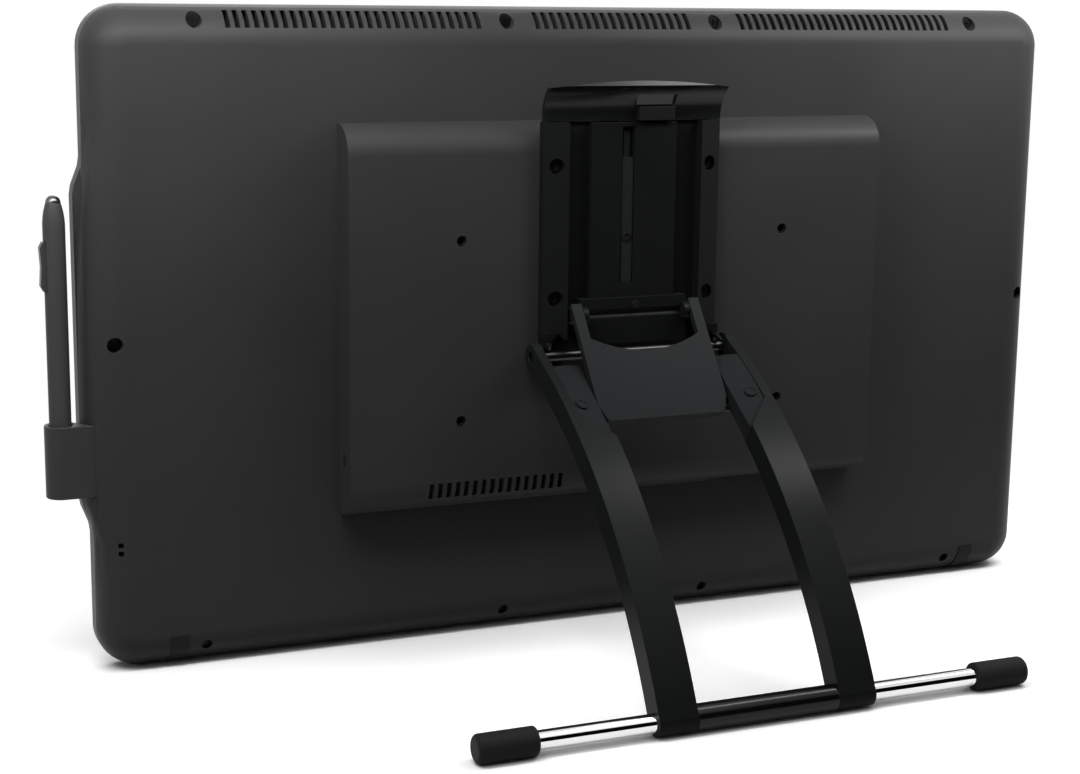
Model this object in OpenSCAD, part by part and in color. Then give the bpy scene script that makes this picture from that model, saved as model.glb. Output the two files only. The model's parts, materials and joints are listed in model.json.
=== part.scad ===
// Pen display on a folding stand, seen from behind: +X is the pen's side, +Y is the back, +Z is up.
// Pieces are drawn round the middle of the case, with Y = 0 on the seam between frame and cover,
// and placed() moves them so that the origin is the middle of the footprint on the desk.

/* [Case] */
// Width of the case without the side bulge
case_w = 594; // [560:1:640]
// Height of the case
case_h = 355; // [340:1:390]
// Corner radius of the case in plan
corner_r = 22; // [21.5:0.5:26]
// Depth of the rear cover from the seam to its flat back
cover_d = 18.6; // [17:0.1:24]
// Width of the soft rounding round the back
edge_w = 21; // [17:0.5:21]
// Depth of the front frame
bezel_d = 9.5; // [9.5:0.1:12]
// Wall of the rear cover
wall = 2.4; // [1.8:0.1:3]

/* [Side bulge] */
// How far the pen's side bulges out
bulge = 5.5; // [2:0.25:8]
// Upper end of the full bulge, above the middle of the case
bulge_top = 79; // [72:1:90]
// Lower end of the full bulge
bulge_bottom = -83; // [-95:1:-82]
// Length of the run-out at each end of the bulge
bulge_ramp = 20; // [10:1:30]

/* [Hump] */
// Width of the hump
hump_w = 329; // [300:1:360]
// Height of the hump above the flat back
hump_h = 19.1; // [18:0.1:26]
// Top of the hump
hump_top = 115.7; // [110:0.1:125]
// Bottom of the hump
hump_bottom = -99; // [-115:1:-97]
// Radius along the top and bottom of the hump
hump_r = 17; // [10:0.5:17.5]

/* [Slots] */
// Width of a cooling slot
slot_w = 2.8; // [2:0.1:3.4]
// Height of a cooling slot
slot_h = 9; // [6:0.5:10]
// Distance from slot to slot
slot_pitch = 5.2; // [4.6:0.1:5.4]
// Distance from the case's top edge to the middle of the slots
slot_in = 7.5; // [7:0.25:9]
// Number of slots in each outer group
side_slots = 28; // [20:1:28]
// Number of slots in the middle group
mid_slots = 19; // [10:1:19]
// Middle of each outer group
side_slot_x = 152.3; // [150:0.5:156]
// Number of slots under the hump
hump_slots = 16; // [8:1:16]
// Middle of the hump's slots
hump_slot_x = 78; // [76:1:100]

/* [Case screws] */
// Place of the outer screws
screw_x_out = 240; // [235:1:250]
// Place of the inner screws
screw_x_in = 65; // [60:1:68]
// Distance of the top screws from the edge
screw_in_top = 8; // [7:0.5:10]
// Distance of the other screws from the edge
screw_in = 11; // [9:0.5:13]
// Radius of a screw's pocket
pocket_r = 4.2; // [3.8:0.1:4.6]
// Radius of a screw's head
head_r = 3.3; // [2.6:0.1:3.6]
// Radius of a lower screw's pocket
low_pocket_r = 3; // [2.8:0.1:3.6]
// Radius of a lower screw's head
low_head_r = 2.4; // [2:0.1:2.6]
// Radius of a screw's shank
shank_r = 1.5; // [1.2:0.1:1.8]
// Length of a case screw
case_screw_l = 12; // [10:0.5:14]
// Length of a bracket screw
bracket_screw_l = 10; // [8:0.5:12]

/* [Wall mount] */
// Width of the hole pattern
vesa_w = 200; // [200:100:200]
// Height of the hole pattern
vesa_h = 100; // [100:100:100]
// Middle of the pattern above the middle of the case
vesa_z = 2; // [-5:0.5:8]
// Radius of the threaded hole
vesa_r = 2; // [1.5:0.5:3]
// Outer radius of a threaded insert
insert_r = 3; // [2.8:0.1:3.4]
// How deep an insert sits under the hump's face
insert_in = 1.5; // [0.5:0.1:3]
// Depth of a threaded insert's hole
insert_l = 9; // [7:0.5:10]

/* [Screen] */
// Width of the frame beside the glass
frame_x = 17.5; // [16:0.5:24]
// Width of the frame above and below the glass
frame_z = 14; // [13:0.5:22]
// Thickness of the cover glass
glass_t = 1.8; // [1:0.1:2]
// Width of the dark border on the glass
border = 16; // [12:0.5:20]
// Width of the panel round the shown picture
panel_edge = 7; // [4:0.5:8]
// Thickness of the panel
panel_t = 2.2; // [1.5:0.1:3]
// Thickness of the light unit
light_t = 6; // [4:0.5:7]
// Thickness of a circuit board
board_t = 1.6; // [1:0.1:2]
// Thickness of the steel chassis
chassis_t = 1.2; // [0.8:0.1:2]

/* [Keys] */
// Distance of the keys from the case's plain edge
key_in = 6; // [5:0.25:7]
// Height of the first function key
key_z = 66; // [64:1:68]
// Distance from key to key
key_pitch = 16; // [14:0.5:16.5]
// Length of a function key
key_l = 11; // [8:0.5:11.5]
// Width of a key
key_w = 6; // [5:0.25:7]
// How far a key stands out
key_proud = 0.5; // [0.2:0.1:1]
// Travel of a key
key_travel = 0.5; // [0.2:0.1:0.8]

/* [Bracket] */
// Width of the bracket
bracket_w = 109; // [106:1:116]
// Top of the bracket
bracket_top = 116; // [110:1:122]
// Bottom of the bracket's plate
bracket_bottom = -4; // [-6:1:0]
// Height of the flange at its outer edge
flange_low = 4.7; // [3.5:0.1:6]
// Height of the flange at its inner edge
flange_high = 9.8; // [8:0.1:11]
// Width between the flanges
channel_w = 81.4; // [80.4:0.2:84]
// Thickness of the bracket's floor
floor_t = 2.5; // [2:0.1:3]
// Width of the guide plate
guide_w = 52.4; // [48:0.4:53]
// Height of the guide plate's face above the hump
guide_h = 6.8; // [6:0.1:7.5]
// Width of the guide plate's slot
guide_slot_w = 7.5; // [6:0.5:9]
// Middle of the slot from the middle of the bracket
guide_slot_x = 3.5; // [0:0.5:6]
// Upper end of the slot
guide_slot_top = 113; // [108:1:113]
// Lower end of the slot
guide_slot_bottom = 26; // [24:1:34]
// Distance between the bracket screws across
bracket_screw_w = 94; // [92:1:96]
// Height of the upper bracket screws
bracket_screw_top = 92; // [86:1:100]
// Height of the lower bracket screws
bracket_screw_bottom = 18.7; // [15:0.1:30]

/* [Release lever] */
// Width of the lever
lever_w = 109; // [96:1:116]
// Radius of the lever's curl
lever_r = 23; // [20:0.5:28]
// Angle that the lever curls through
lever_curl = 60; // [45:1:64]
// Thickness of the lever
lever_t = 3; // [2:0.25:4]
// Rise of the lever's crown over its corners
lever_crown = 3.7; // [1:0.1:6]
// Radius of the lever's hinge pin
lever_pin_r = 1.2; // [1:0.1:1.4]
// Width of the lever's window
window_w = 24; // [16:1:28]

/* [Carriage and brace] */
// Width of the carriage
carriage_w = 66; // [62:0.5:66.4]
// Height of the brace's upper pivot
upper_z = 9.3; // [8:0.1:12]
// Height of the upper pivot above the hump
upper_y = 10.6; // [10:0.1:12]
// Radius of the upper pivot pins
upper_r = 2.5; // [2:0.1:3]
// Height of the brace's lower pivot
lower_z = -41; // [-44:0.5:-36]
// Distance of the lower pivot from the seam
lower_y = 85.5; // [82:0.5:90]
// Radius of the lower pivot pin
lower_r = 2.5; // [2:0.1:3]
// Width of the brace
brace_w = 79.2; // [77:0.2:79.6]
// Width of an arm of the brace
arm_w = 6.2; // [4:0.1:6.3]
// Thickness of the brace
brace_t = 4; // [3:0.25:5]
// Depth of the brace's rounded cut-out
brace_cut = 26; // [20:1:32]

/* [Legs] */
// Height of the legs' hinge
hinge_z = -13; // [-16:0.5:-12]
// Distance of the legs' hinge from the seam
hinge_y = 47; // [46:0.5:52]
// Radius of the hinge shaft
shaft_r = 3; // [2:0.25:3.5]
// Width over both legs
legs_w = 125.6; // [122:0.4:132]
// Width of a leg below its step
leg_w = 22; // [16:0.5:24]
// Thickness of a leg's upper wall
leg_wall = 5.5; // [4:0.25:6.5]
// Fall of the steel cheek from that wall to its inner edge
cheek_fall = 3; // [1:0.1:3.2]
// Depth of a leg
leg_d = 13.5; // [11:0.5:15]
// Bow of a leg over its chord
leg_bow = 20; // [12:1:26]
// Share of the leg's arc where its slanted step starts, at the outer wall
step_top = 0.235; // [0.23:0.005:0.26]
// Share of the leg's arc where the step ends, at the inner edge
step_low = 0.32; // [0.3:0.005:0.36]
// Distance of the foot tube from the seam
foot_y = 207; // [190:1:225]
// Radius of the foot tube
tube_r = 5; // [4:0.25:6]
// Length of the foot tube
tube_l = 300; // [280:1:316]
// Radius of a rubber cap
cap_r = 7.5; // [7.3:0.1:9]
// Length of a rubber cap
cap_l = 32; // [26:1:40]
// How far a cap reaches past the tube
cap_past = 9; // [5:0.5:14]

/* [Pen] */
// Distance of the pen from the case's plain edge
pen_off = 16; // [15.5:0.25:20]
// Distance of the pen from the seam
pen_y = 3; // [2:0.5:6]
// Radius of the pen
pen_r = 5.8; // [5:0.1:6.2]
// Length of the pen
pen_l = 157; // [140:1:170]
// Outer radius of the holder's socket
holder_r = 8.6; // [8.2:0.1:10]
// Top of the holder
holder_top = -41; // [-50:1:-36]
// Length of the holder
holder_l = 39; // [34:1:44]
// Length of the pen's side switch
switch_l = 26; // [18:1:30]
// How far the side switch stands out
switch_proud = 2.2; // [1:0.1:2.4]

/* [Pads] */
// How far the pads stand out
pad_proud = 0.6; // [0.3:0.1:1.2]
// Width of a pad
pad_w = 10; // [8:1:20]
// Place of a pad
pad_x = 255; // [248:1:268]

/* [Hidden] */
$fn = 64;

// Clearances: between pieces that move, between a pin and its bore, and past a face that is cut
gap = 0.35;
run_gap = 0.05;
seat_gap = 0.02;
past = 1;

// Placing on the desk
floor_z = case_h / 2 + pad_proud;
holder_x = case_w / 2 + pen_off;
span_mid_x = (holder_x + holder_r - case_w / 2) / 2;
span_mid_y = (foot_y + cap_r - bezel_d - key_proud) / 2;

// Sizes of the screen, from the case's
glass_w = case_w - 2 * frame_x;
glass_h = case_h - 2 * frame_z;
view_w = glass_w - 2 * border;
view_h = glass_h - 2 * border;
panel_w = view_w + 2 * panel_edge;
panel_h = view_h + 2 * panel_edge;
caps_w = tube_l + 2 * cap_past;

// Layers of the screen, from the front
glass_y = -bezel_d;
ledge_y = glass_y + glass_t;
panel_y = ledge_y + 1.5;
light_y = panel_y + panel_t;
sensor_y = light_y + light_t;
chassis_y = sensor_y + board_t;
main_y = chassis_y + chassis_t + 16;

// Planes of the stand
hump_y = cover_d + hump_h;
floor_y = hump_y + floor_t;
guide_y = hump_y + guide_h;
slide_y = guide_y + gap;
upper_pin_y = hump_y + upper_y;
foot_z = cap_r - floor_z;
vesa_places = [for (sx = [-1, 1], sz = [-1, 1]) [sx * vesa_w / 2, vesa_z + sz * vesa_h / 2]];
bracket_places = [for (sx = [-1, 1], z = [bracket_screw_top, bracket_screw_bottom]) [sx * bracket_screw_w / 2, z]];

// Each case screw: place, pocket and head
screw_xs = [-screw_x_out, -screw_x_in, screw_x_in, screw_x_out];
screw_places = concat([for (x = screw_xs) [x, case_h / 2 - screw_in_top, pocket_r, head_r]],
                      [for (x = screw_xs) [x, screw_in - case_h / 2, low_pocket_r, low_head_r]],
                      [for (sx = [-1, 1]) [sx * (case_w / 2 - screw_in), 2, pocket_r, head_r]]);
side_screw = [case_w / 2 - screw_in, 2];
boss_r = 3.2;
head_y = 9;

// Places of the keys on the front frame
key_x = case_w / 2 - key_in;
power_z = key_z - 5.4 * key_pitch;
key_back_y = -bezel_d + 3.2;
switch_y = key_back_y + key_travel + 0.2;
key_board_y = -board_t;

// Legs: an arc through the hinge and the foot
leg_chord = [foot_y - hinge_y, foot_z - hinge_z];
leg_chord_l = norm(leg_chord);
leg_r = (leg_chord_l * leg_chord_l / 4 + leg_bow * leg_bow) / (2 * leg_bow);
leg_turn = 2 * asin(leg_chord_l / 2 / leg_r);
leg_dir = atan2(leg_chord[1], leg_chord[0]);
leg_mid = [hinge_y + leg_chord[0] / 2, hinge_z + leg_chord[1] / 2];
leg_centre = leg_mid + (leg_r - leg_bow) * [sin(leg_dir), -cos(leg_dir)];
leg_inner = legs_w / 2 - leg_wall;
eye_r = 7.5;
foot_r = cap_r - 0.6;

// Brace: from its upper pivot down to its lower one
brace_run = [lower_y - upper_pin_y, lower_z - upper_z];
brace_l = norm(brace_run);
brace_dir = atan2(brace_run[1], brace_run[0]);

// Lever: its pin lies on the bracket's top edge
lug_r = 2.2;
lug_w = 10;
lug_xs = [8, 40];
lever_z = bracket_top + lug_r + gap;
lever_y = hump_y + 1.5;

// Pen: its lower end stands in the holder
pen_bottom = holder_top - holder_l + 3;
switch_z = pen_bottom + pen_l - 24 - switch_l;
nib_l = 9;
tail_l = 4;
taper_l = 12;

function ramp(t) = (1 - cos(180 * min(max(t, 0), 1))) / 2;

// Edge of the bulge as [height, how far out], with eased ends
ease = [0, 0.25, 0.75, 1];
bulge_line = concat([for (t = ease) [bulge_bottom - bulge_ramp * (1 - t), bulge * ramp(t)]],
                    [for (i = [3 : -1 : 0]) [bulge_top + bulge_ramp * (1 - ease[i]), bulge * ramp(ease[i])]]);
bulge_fade = 3 * cover_d;
bulge_in = case_w / 2 - edge_w - 4;
module bulge_outline() {
    polygon(concat([[bulge_in, bulge_line[0][0]]], [for (p = bulge_line) [case_w / 2 + p[1], p[0]]],
                   [[bulge_in, bulge_line[7][0]]]));
}

// Section across the back with its soft edges, drawn as [depth, place] between two outer edges
edge_r = (edge_w * edge_w + cover_d * cover_d) / (2 * cover_d);
module soft_section(from, to) {
    intersection() {
        translate([0, from]) square([cover_d, to - from]);
        union() {
            translate([0, from + edge_w]) square([cover_d, to - from - 2 * edge_w]);
            for (p = [from + edge_w, to - edge_w]) translate([cover_d - edge_r, p]) circle(edge_r, $fn = 128);
        }
    }
}

module placed() {
    translate([-span_mid_x, -span_mid_y, floor_z]) children();
}

// Shape drawn in Y and Z, drawn out along X
module along_x(x0, x1) {
    translate([x0, 0, 0]) rotate([90, 0, 90]) linear_extrude(x1 - x0) children();
}

// Shape drawn in X and Z, drawn out along Y
module along_y(y0, y1) {
    translate([0, y1, 0]) rotate([90, 0, 0]) linear_extrude(y1 - y0) children();
}

// Shape drawn in Y and X, drawn out along Z
module along_z(z0, z1) {
    translate([0, 0, z0]) mirror([1, 0, 0]) rotate([0, 0, 90]) linear_extrude(z1 - z0) children();
}

module box(low, high) {
    translate(low) cube(high - low);
}

// Round bar along X or Y
module bar_x(x0, x1, y, z, r) {
    translate([x0, y, z]) rotate([0, 90, 0]) cylinder(h = x1 - x0, r = r);
}

module bar_y(x, z, y0, y1, r) {
    translate([x, y1, z]) rotate([90, 0, 0]) cylinder(h = y1 - y0, r = r);
}

module mirrored() {
    children();
    mirror([1, 0, 0]) children();
}

// Rectangle with round corners, round the origin
module round_rect(w, h, r) {
    square([w - 2 * r, h], center = true);
    square([w, h - 2 * r], center = true);
    for (sx = [-1, 1], sy = [-1, 1]) translate([sx * (w / 2 - r), sy * (h / 2 - r)]) circle(r);
}

// Screw with a low head, driven from behind
module screw(x, z, seat, length, head, shank) {
    difference() {
        union() {
            bar_y(x, z, seat, seat + 1.8, head);
            bar_y(x, z, seat - length, seat + 0.5, shank);
        }
        for (a = [0, 90])
            translate([x, seat + 1.8, z]) rotate([0, a, 0])
                cube([head * 1.1, 1.6, head * 0.3], center = true);
    }
}

// Side view of the hump, drawn in by inset
module hump_shape(inset, y0) {
    r = hump_r - inset;
    z0 = hump_bottom + inset;
    z1 = hump_top - inset;
    y1 = hump_y - inset;
    translate([y0, z0]) square([y1 - r - y0, z1 - z0]);
    translate([y0, z0 + r]) square([y1 - y0, z1 - z0 - 2 * r]);
    for (z = [z0 + r, z1 - r]) translate([y1 - r, z]) circle(r);
}

module slot_row(x, count, y0, y1, z) {
    for (i = [0 : count - 1])
        translate([x + (i - (count - 1) / 2) * slot_pitch, 0, z])
            box([-slot_w / 2, y0, -slot_h / 2], [slot_w / 2, y1, slot_h / 2]);
}

// Space for the cooling air behind a group of slots
module slot_duct(x, count, z0, z1) {
    half = (count * slot_pitch) / 2;
    box([x - half, -past, z0], [x + half, 6.5, z1]);
}

slot_groups = [[-side_slot_x, side_slots], [0, mid_slots], [side_slot_x, side_slots]];
pocket_w = panel_w + 1.2;
pocket_h = panel_h + 1.2;
port_x = -95;
port_w = 70;
port_y = cover_d + 2;
port_d = 10;
port_h = 17;
block_x = case_w / 2 - 3;
block_d = 11.5;
lock_slot_y = 7;
lock_slot_up = 28;
lock_slot_d = 4;
lock_slot_l = 7;
tether_in = 11.5;
tether_up = 71;
tether_pitch = 4.5;
tether_w = 2.8;

// Half of that section round a corner of the case, to be turned
module corner_section() {
    intersection() {
        square([corner_r, cover_d]);
        union() {
            square([corner_r - edge_w, cover_d]);
            translate([corner_r - edge_w, cover_d - edge_r]) circle(edge_r, $fn = 128);
        }
    }
}

// Back of the case: soft sections drawn out along both sides, turned corners, and the bulge
module cover_body() {
    half_x = case_w / 2 - corner_r;
    half_z = case_h / 2 - corner_r;
    along_x(-half_x, half_x) soft_section(-case_h / 2, case_h / 2);
    along_z(-half_z, half_z) soft_section(-case_w / 2, case_w / 2);
    for (sx = [-1, 1], sz = [-1, 1])
        translate([sx * half_x, 0, sz * half_z]) rotate([-90, 0, 0]) rotate_extrude($fn = 128) corner_section();
    intersection() {
        along_z(-case_h, case_h) soft_section(-case_w / 2, case_w / 2 + bulge);
        along_y(-past, cover_d + past) bulge_outline();
        along_x(bulge_in - past, case_w) polygon([[-past, bulge_bottom - bulge_fade], [cover_d, bulge_bottom],
                                                  [cover_d, bulge_top], [-past, bulge_top + bulge_fade]]);
    }
}

module rear_cover() {
    color([0.2, 0.2, 0.21])
    difference() {
        union() {
            difference() {
                union() {
                    cover_body();
                    along_x(-hump_w / 2, hump_w / 2) hump_shape(0, cover_d - 4);
                }
                along_y(-past, cover_d - wall) round_rect(pocket_w, pocket_h, 6);
                along_x(3 - hump_w / 2, hump_w / 2 - 3) hump_shape(3, cover_d - wall - past);
            }
            for (p = vesa_places) bar_y(p[0], p[1], hump_y - insert_l - 2, hump_y - 2, 7);
            for (p = bracket_places) bar_y(p[0], p[1], hump_y - 10, hump_y - 2, 4);
        }
        for (g = slot_groups) {
            slot_row(g[0], g[1], 5, cover_d + past, case_h / 2 - slot_in);
            slot_duct(g[0], g[1], pocket_h / 2 - past, case_h / 2 - 4.5);
        }
        slot_row(hump_slot_x, hump_slots, cover_d + 10, hump_y + past, hump_bottom + 12);
        for (p = screw_places) {
            bar_y(p[0], p[1], head_y, cover_d + past, p[2]);
            bar_y(p[0], p[1], -past, head_y + past, shank_r + 0.2);
        }
        for (p = vesa_places) bar_y(p[0], p[1], hump_y - insert_l, hump_y + past, insert_r + seat_gap);
        for (p = bracket_places) bar_y(p[0], p[1], hump_y - 9, hump_y + past, shank_r + seat_gap);
        translate([port_x, 0, 0])
            box([-port_w / 2 - gap, port_y - gap, hump_bottom - past],
                [port_w / 2 + gap, port_y + port_d + gap, hump_bottom + port_h + gap]);
        translate([hump_w / 2, cover_d + lock_slot_y, hump_bottom + lock_slot_up])
            box([-2, 0, 0], [past, lock_slot_d, lock_slot_l]);
        for (i = [0, 1])
            translate([case_w / 2 - tether_in, 8, tether_up - case_h / 2 - i * tether_pitch])
                box([-tether_w / 2, 0, -tether_w / 2], [tether_w / 2, cover_d, tether_w / 2]);
        box([block_x - gap, -past, holder_top - holder_l - gap],
            [holder_x, block_d + gap, holder_top + gap]);
    }
}

module case_screws() {
    color("dimgray")
    for (p = screw_places) screw(p[0], p[1], head_y, case_screw_l, p[3], shank_r);
}

module vesa_inserts() {
    color("darkgoldenrod")
    for (p = vesa_places)
        difference() {
            bar_y(p[0], p[1], hump_y - insert_l, hump_y - insert_in, insert_r);
            bar_y(p[0], p[1], hump_y - insert_l - past, hump_y + past, vesa_r);
        }
}

// Rubber pads: a strip that follows the bottom edge and the rounding behind it
pad_front = bezel_d - 2.3;
pad_in = 0.88 * edge_w;
module pad_strip() {
    centre = [cover_d - edge_r, edge_w - case_h / 2];
    intersection() {
        translate(centre) difference() {
            circle(edge_r + pad_proud, $fn = 128);
            circle(edge_r, $fn = 128);
        }
        translate([0, -case_h / 2 - pad_proud]) square([cover_d, pad_in + pad_proud]);
    }
    translate([-pad_front, -case_h / 2 - pad_proud]) square([pad_front, pad_proud]);
}

module rest_pads() {
    color([0.1, 0.1, 0.1])
    mirrored() along_x(pad_x - pad_w / 2, pad_x + pad_w / 2) pad_strip();
}

// Front frame with the glass's seat, the panel's pocket and the keys' holes
module front_bezel() {
    color([0.12, 0.12, 0.125])
    difference() {
        along_y(-bezel_d, 0) {
            round_rect(case_w, case_h, corner_r);
            bulge_outline();
        }
        along_y(glass_y - past, ledge_y) round_rect(glass_w + 2 * gap, glass_h + 2 * gap, 6);
        along_y(glass_y - past, panel_y + past) round_rect(view_w + 6, view_h + 6, 3);
        along_y(panel_y, past) round_rect(panel_w + 2 * gap, panel_h + 2 * gap, 3);
        for (p = screw_places) bar_y(p[0], p[1], head_y - case_screw_l - gap, past, shank_r + seat_gap);
        for (k = [0 : 3])
            along_y(-bezel_d - past, past) translate([key_x, key_z - k * key_pitch])
                round_rect(key_w + 2 * gap, key_l + 2 * gap, key_w / 2 + gap - 0.01);
        bar_y(key_x, power_z, -bezel_d - past, past, key_w / 2 + gap);
        difference() {
            box([key_x - key_board_w / 2 - gap, key_back_y - 1.2, power_z - 9],
                [key_x + key_board_w / 2 + gap, past, key_z + 11]);
            bar_y(side_screw[0], side_screw[1], -bezel_d, 2 * past, boss_r);
        }
    }
}

module cover_glass() {
    color([0.05, 0.05, 0.06])
    along_y(glass_y, ledge_y) round_rect(glass_w, glass_h, 6 - gap);
}

module lcd_panel() {
    color([0.02, 0.02, 0.03])
    along_y(panel_y, light_y) round_rect(panel_w, panel_h, 2);
}

module backlight_unit() {
    color("silver")
    along_y(light_y, sensor_y) round_rect(panel_w - 2, panel_h - 2, 2);
}

module sensor_board() {
    color("darkgreen")
    along_y(sensor_y, chassis_y) round_rect(panel_w - 4, panel_h - 4, 2);
}

// Steel chassis with pillars for the main board
main_w = 190;
main_h = 84;
chassis_in = 9;
thread_l = 8;
pillar_places = [for (sx = [-1, 1], sz = [-1, 1]) [sx * (main_w / 2 - 6), vesa_z + sz * (main_h / 2 - 6)]];
module chassis_plate() {
    color("lightgray")
    difference() {
        union() {
            along_y(chassis_y, chassis_y + chassis_t) round_rect(panel_w - 2 * chassis_in, panel_h - 2 * chassis_in, 4);
            for (p = pillar_places) bar_y(p[0], p[1], chassis_y, main_y, 3.5);
        }
        for (p = pillar_places) bar_y(p[0], p[1], main_y - thread_l, main_y + past, 1.25);
    }
}

module main_board() {
    color("seagreen")
    difference() {
        union() {
            along_y(main_y, main_y + board_t) translate([0, vesa_z]) round_rect(main_w, main_h, 3);
            translate([20, 0, vesa_z]) box([-22, main_y + board_t, -22], [22, main_y + board_t + 5, 22]);
            for (x = [-62, -44, -26])
                translate([x, 0, vesa_z]) box([-6, main_y + board_t, -14], [6, main_y + board_t + 2, 14]);
        }
        for (p = pillar_places) bar_y(p[0], p[1], main_y - past, main_y + board_t + past, 1.6);
        for (i = [-3 : 3])
            translate([20 + i * 6, 0, vesa_z]) box([-1.5, main_y + board_t + 1.5, -23], [1.5, main_y + 10, 23]);
    }
}

// Board behind the keys, with one switch under each key
key_board_w = 12;
module key_board() {
    color("darkgreen") {
        difference() {
            box([key_x - key_board_w / 2, key_board_y, power_z - 8], [key_x + key_board_w / 2, 0, key_z + 10]);
            bar_y(side_screw[0], side_screw[1], -bezel_d, past, boss_r + gap);
        }
        for (z = concat([for (k = [0 : 3]) key_z - k * key_pitch], [power_z]))
            translate([key_x, 0, z]) box([-3, switch_y, -3], [3, key_board_y + 0.1, 3]);
    }
}

module port_block() {
    color([0.08, 0.08, 0.09])
    translate([port_x, port_y, hump_bottom])
    difference() {
        box([-port_w / 2, 0, 3.5], [port_w / 2, port_d, port_h]);
        translate([-26, port_d / 2, -past]) cylinder(h = 11 + past, r = 3.2);
        box([-15, 2.5, -past], [3, 7.5, 11]);
        for (x = [8, 22]) box([x, 2, -past], [x + 12, 8, 11]);
    }
}

// Key cap with a rim that keeps it behind the frame's face
module key_cap(z, round_key) {
    translate([0, 0, z]) {
        along_y(-bezel_d - key_proud, key_back_y) translate([key_x, 0])
            if (round_key) circle(key_w / 2); else round_rect(key_w, key_l, key_w / 2 - 0.01);
        along_y(key_back_y - 0.8, key_back_y) translate([key_x, 0])
            round_rect(key_w + 2.4, (round_key ? key_w : key_l) + 2.4, 2.5);
    }
}

module function_key(k) {
    color([0.16, 0.16, 0.17]) key_cap(key_z - k * key_pitch, false);
}

module power_key() {
    color([0.16, 0.16, 0.17]) key_cap(power_z, true);
}

// Bracket: pressed floor with two sloped flanges and the lugs of both hinges
lug_in = 42;
lug_out = bracket_w / 2 - 0.5;
module flange_shape() {
    w = bracket_w / 2;
    c = channel_w / 2;
    polygon([[0, 0], [w, 0], [w, flange_low], [c, flange_high], [c, floor_t], [0, floor_t]]);
}

module stand_bracket() {
    color([0.09, 0.09, 0.095])
    difference() {
        union() {
            mirrored()
                translate([0, hump_y, bracket_bottom]) linear_extrude(bracket_top - bracket_bottom) flange_shape();
            mirrored() along_x(lug_in, lug_out) {
                translate([hump_y, hinge_z - eye_r]) square([hinge_y - hump_y, bracket_bottom + 4 - hinge_z + eye_r]);
                translate([hinge_y, hinge_z]) circle(eye_r);
            }
            mirrored() for (x = lug_xs) along_x(x, x + lug_w) {
                translate([hump_y, bracket_top - 1]) square([lever_y - hump_y, lever_z - bracket_top + 1]);
                translate([lever_y, lever_z]) circle(lug_r);
            }
        }
        mirrored() translate([channel_w / 2 + 1, hump_y - past, bracket_bottom - past])
            rotate([0, 45, 0]) translate([0, flange_low + past, -20]) cube([30, 20, 26]);
        bar_x(-bracket_w, bracket_w, hinge_y, hinge_z, shaft_r + seat_gap);
        bar_x(-bracket_w, bracket_w, lever_y, lever_z, lever_pin_r + seat_gap);
        for (p = bracket_places) {
            bar_y(p[0], p[1], hump_y + 2, hump_y + 20, pocket_r);
            bar_y(p[0], p[1], hump_y - past, hump_y + 3, shank_r + 0.2);
        }
    }
}

module guide_plate() {
    color([0.1, 0.1, 0.105])
    difference() {
        box([-guide_w / 2, floor_y, bracket_bottom], [guide_w / 2, guide_y, bracket_top - 0.5]);
        translate([guide_slot_x, 0, 0]) {
            box([-guide_slot_w / 2, floor_y - past, guide_slot_bottom], [guide_slot_w / 2, guide_y + past, guide_slot_top]);
            box([-2 - gap, floor_y - past, lock_top], [2 + gap, lock_y0 + 1.5 + gap, bracket_top + past]);
        }
    }
}

module bracket_screws() {
    color("dimgray")
    for (p = bracket_places) screw(p[0], p[1], hump_y + 2, bracket_screw_l, head_r, shank_r);
}

// Bar that locks the carriage, with a tail that the lever pulls
lock_y0 = floor_y + 0.05;
lock_y1 = guide_y - 0.8;
lock_top = 96;
module lock_bar() {
    color([0.3, 0.3, 0.31])
    difference() {
        union() {
            box([guide_slot_x - guide_slot_w / 2 + gap, lock_y0, guide_slot_bottom + gap],
                [guide_slot_x + guide_slot_w / 2 - gap, lock_y1, lock_top]);
            box([guide_slot_x - 2, lock_y0, lock_top - past], [guide_slot_x + 2, lock_y0 + 1.5, bracket_top - 1]);
        }
        bar_y(guide_slot_x, 51.8, lock_y0 - past, lock_y1 + past, 1.2 + seat_gap);
    }
}

module lock_screw() {
    color("dimgray")
    difference() {
        union() {
            bar_y(guide_slot_x, 51.8, lock_y1, lock_y1 + 0.7, 2.6);
            bar_y(guide_slot_x, 51.8, lock_y0 + 0.2, lock_y1 + 0.2, 1.2);
        }
        for (a = [0, 90])
            translate([guide_slot_x, lock_y1 + 0.7, 51.8]) rotate([0, a, 0]) cube([3, 0.7, 0.8], center = true);
    }
}

// Lever: a curled paddle with an arched edge, a window and two hinge knuckles
window_x = -12.5;
curl_centre = [hump_y + flange_low + lever_r, bracket_top];
module curl_shape() {
    intersection() {
        translate(curl_centre) difference() {
            circle(lever_r + lever_t, $fn = 128);
            circle(lever_r, $fn = 128);
        }
        translate(curl_centre) polygon([[-lever_r / 4, gap], [-2 * lever_r, gap],
                                        [-2 * lever_r, 2 * lever_r * tan(lever_curl)],
                                        [-lever_r / 4, lever_r / 4 * tan(lever_curl)]]);
    }
}

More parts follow.
